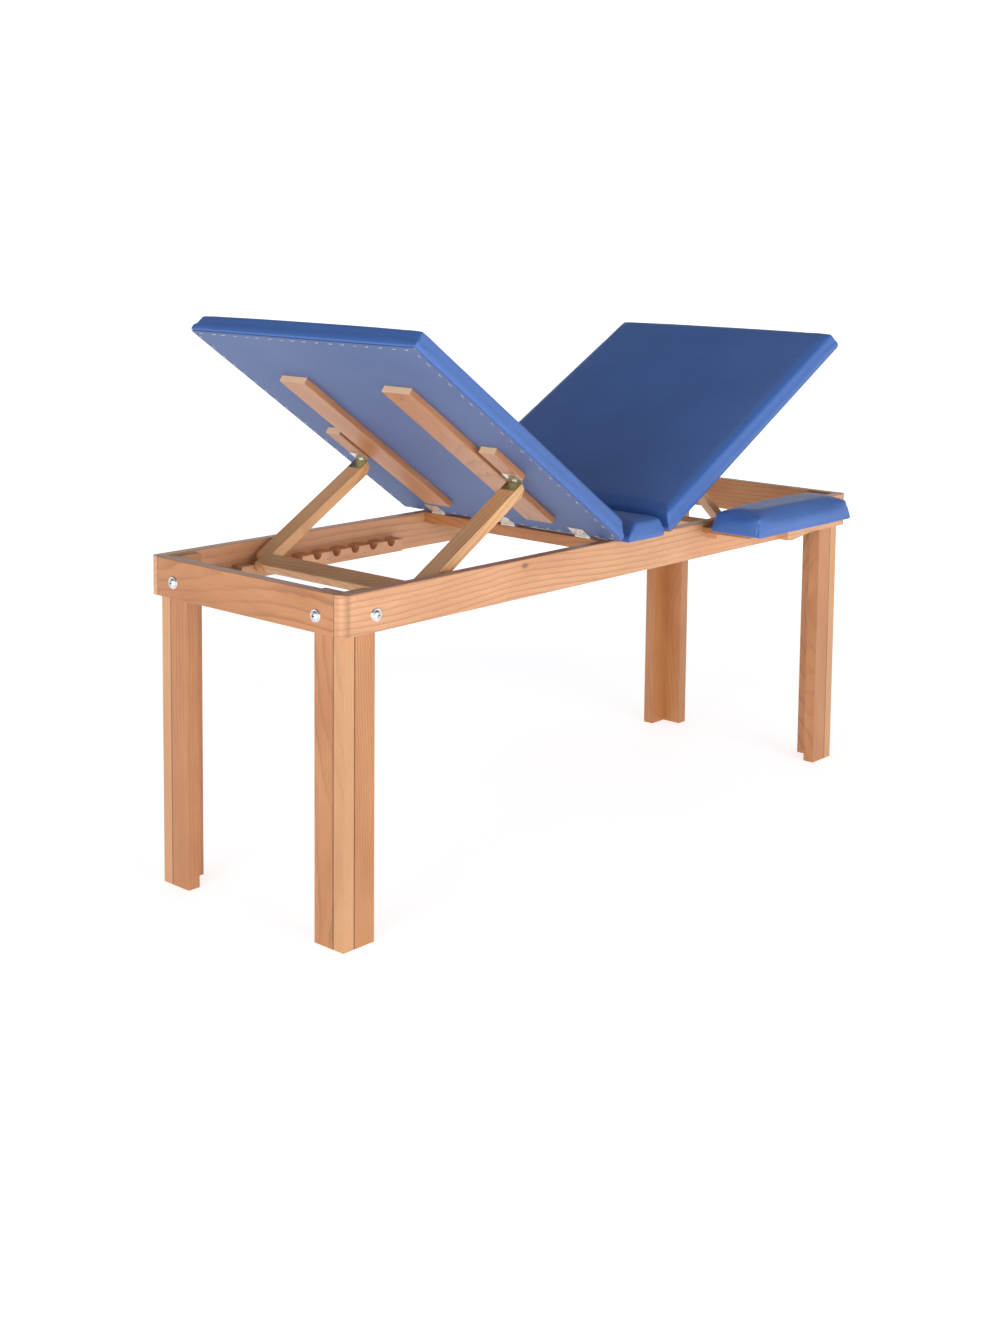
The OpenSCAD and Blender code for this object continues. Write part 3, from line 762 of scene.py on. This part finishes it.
def staples(s):
    """Wire staples just inside the rim of the underside, a little crooked, as hand-set ones are."""
    low, high = s.local_box(f"{s.name}_cushion")
    inset, spacing, width, wire, lift = 0.0135, 0.037, 0.011, 0.0006, 0.0014
    stray, skew = 0.004, 0.16
    deep = Vector((0, 0, 0.0015))
    x0, x1, y0, y1 = low.x + inset, high.x - inset, low.y + inset, high.y - inset
    rnd = random.Random(7 + len(s.name))
    bm = bmesh.new()
    runs = [(Vector((x0, y, 0)), Vector((x1, y, 0))) for y in (y0, y1)]
    runs += [(Vector((x, y0, 0)), Vector((x, y1, 0))) for x in (x0, x1)]
    for start, end in runs:
        along = (end - start).normalized()
        count = int((end - start).length / spacing)
        for k in range(count):
            middle = start + along * ((k + 0.5) * (end - start).length / count + rnd.uniform(-stray, stray))
            turn = Matrix.Rotation(rnd.uniform(-skew, skew), 3, "Z")
            half = turn @ along * (width / 2)
            middle.z = low.z - lift
            add_rod(bm, middle - half, middle + half, wire)
            for tip in (middle - half, middle + half):
                add_rod(bm, tip, tip + deep, wire)
    obj = mesh_object(f"{s.name}_staples", bm, ZINC, s.matrix)
    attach(obj, s.name)


# ---------------------------------------------------------------- screw heads

def islands(node):
    """The separate solids of a CAD node, each as a list of its points."""
    bm = bmesh.new()
    bm.from_mesh(nodes[node].data)
    bmesh.ops.remove_doubles(bm, verts=bm.verts, dist=1e-6)
    # a dict keeps its order, so that the solids come in the same order in every run
    left, groups = dict.fromkeys(bm.verts), []
    while left:
        stack, group = [left.popitem()[0]], []
        while stack:
            v = stack.pop()
            group.append(v.co.copy())
            for e in v.link_edges:
                other = e.other_vert(v)
                if other in left:
                    del left[other]
                    stack.append(other)
        groups.append(group)
    bm.free()
    return groups


def cross_recess(bm, centre, out, size, spin):
    """Dark cross a hair above a screw head's face: painted shade standing in for the hollow of the recess.
    """
    slimness, thick = 0.24, 0.00025
    turn = out.to_track_quat("Z", "Y").to_matrix() @ Matrix.Rotation(spin, 3, "Z")
    for quarter in (0, math.pi / 2):
        bar = (turn @ Matrix.Rotation(quarter, 3, "Z")).to_4x4()
        bar.translation = centre
        flat = Matrix.Diagonal((size, size * slimness, thick, 1))
        bmesh.ops.create_cube(bm, size=1, matrix=bar @ flat)


def recesses(node, body, out_of, size=0.0046):
    """A dark cross of painted shade in the head of every screw of a node; out_of gives a head's direction
    from its points.
    """
    face_depth = 1e-4
    rnd = random.Random(len(node))
    bm = bmesh.new()
    for points in islands(node):
        out = out_of(points)
        reach = max(p.dot(out) for p in points)
        face = [p for p in points if p.dot(out) > reach - face_depth]
        cross_recess(bm, sum(face, Vector()) / len(face), out, size, rnd.uniform(0, math.pi))
    obj = mesh_object(f"{node}_recess", bm, RECESS_SHADE, smooth=False)
    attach(obj, body)


def bolt_slots():
    """Dark floor of the crossed slots in the eight bolt heads: painted shade at the bottom of the slots."""
    length, slimness, thick, depth = 0.0098, 0.17, 0.0003, 0.0018
    bm = bmesh.new()
    for points in islands("leg_bolts"):
        low = [min(p[i] for p in points) for i in range(3)]
        high = [max(p[i] for p in points) for i in range(3)]
        size = [high[i] - low[i] for i in range(3)]
        centre = Vector((high[i] + low[i]) / 2 for i in range(3))
        axis = size.index(max(size))
        out = Vector((0, 0, 0))
        out[axis] = math.copysign(1, centre[axis])
        centre[axis] = out[axis] * (max(abs(p[axis]) for p in points) - depth)
        for quarter in (0, math.pi / 2):
            turn = out.to_track_quat("Z", "X").to_matrix() @ Matrix.Rotation(quarter, 3, "Z")
            bar = turn.to_4x4()
            bar.translation = centre
            flat = Matrix.Diagonal((length, length * slimness, thick, 1))
            bmesh.ops.create_cube(bm, size=1, matrix=bar @ flat)
    obj = mesh_object("bolt_slots", bm, RECESS_SHADE, smooth=False)
    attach(obj, "frame")


def leaf_screws(s):
    """Three countersunk heads in each moving leaf of a section's hinges."""
    leaf_end = s.local_box(f"{s.name}_moving_leaves")[1].x
    hinge_rows = (-0.230, 0.0, 0.230)
    # places of the screws as shares of the leaf's length and of half its width
    places = ((0.35, -0.6), (0.35, 0.6), (0.75, 0.0))
    half_width, from_knuckle, face_z, thick, recess = 0.022, 0.003, 0.0012, 0.0003, 0.0042
    down = Vector((0, 0, -1))
    bm = bmesh.new()
    for row in hinge_rows:
        for x, y in places:
            centre = Vector((leaf_end * x + from_knuckle, row + y * half_width, face_z))
            bmesh.ops.create_cone(bm, cap_ends=True, segments=20, radius1=0.0030, radius2=0.0032,
                                  depth=thick, matrix=Matrix.Translation(centre))
            cross_recess(bm, centre + down * thick, down, recess, x + y)
    obj = mesh_object(f"{s.name}_leaf_screws", bm, SCREW, s.matrix, smooth=False)
    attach(obj, s.name)


def toward_middle(points):
    """Direction along Y from a screw to the middle of the couch."""
    return Vector((0, -1 if sum(p.y for p in points) > 0 else 1, 0))


def small_parts():
    """Linings, staples, and dark crosses of painted shade for the recesses in screws and bolts, which the
    CAD doesn't have.
    """
    for s in SECTIONS:
        lining_sheet(s)
        staples(s)
        leaf_screws(s)
        below = -Vector(s.matrix.col[2][:3])
        recesses(f"{s.name}_screws", s.name, lambda points: below)
    bolt_slots()
    recesses("rack_screws", "frame", toward_middle)
    recesses("armrest_screws", "frame", lambda points: -toward_middle(points))


cushions()
small_parts()
